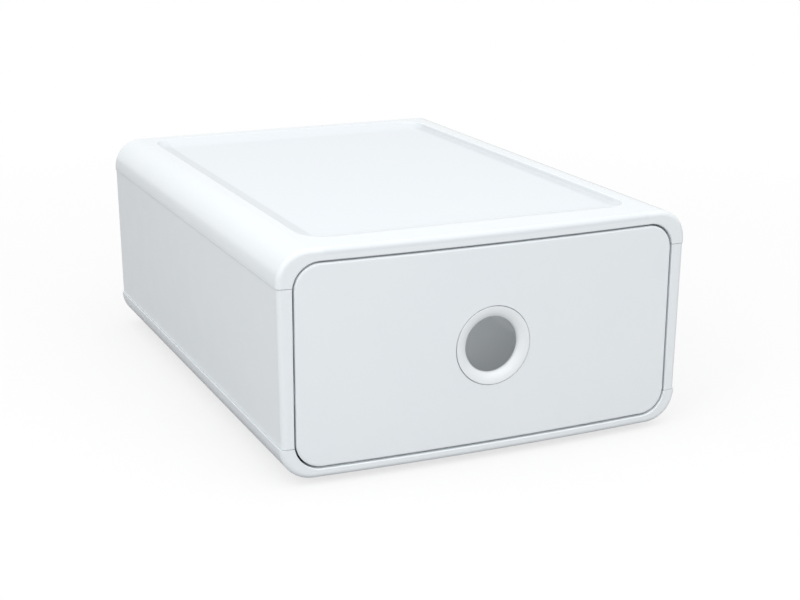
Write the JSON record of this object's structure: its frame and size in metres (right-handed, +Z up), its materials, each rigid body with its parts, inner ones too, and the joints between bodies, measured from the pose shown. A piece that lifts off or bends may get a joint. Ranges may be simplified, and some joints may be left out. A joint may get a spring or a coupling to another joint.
{
  "type": "stackable drawer box",
  "caption": "Moulded stacking drawer box: rounded casing with a recessed top, soft feet, and one pull-out tray behind a bowed front with a round finger hole.",
  "frame": {"origin": "under the middle of the box, on the plane that the feet stand on", "axes": "+Z up; -Y toward the drawer's front, so +Y runs from front to back; +X to the right as seen from the front"},
  "size_m": [0.265, 0.3544, 0.14],
  "materials": {
    "casing_plastic": "glossy white moulded polystyrene",
    "front_plastic": "satin-gloss white moulded polystyrene",
    "tray_plastic": "plain white moulded polypropylene",
    "ring_plastic": "glossy white moulded plastic",
    "foot_rubber": "soft matt elastomer"
  },
  "bodies": {
    "casing": {"top_cover": "casing_plastic", "base": "casing_plastic", "left_side_panel": "casing_plastic", "right_side_panel": "casing_plastic", "back_panel": "casing_plastic", "foot_front_left": "foot_rubber", "foot_front_right": "foot_rubber", "foot_back_left": "foot_rubber", "foot_back_right": "foot_rubber"},
    "drawer": {"drawer_tray": "tray_plastic", "drawer_front": "front_plastic", "finger_ring": "ring_plastic"}
  },
  "joints": [
    {"name": "drawer_slide", "type": "slide", "parent": "casing", "child": "drawer", "axis": [0, -1, 0], "range_m": [0, 0.255]}
  ]
}
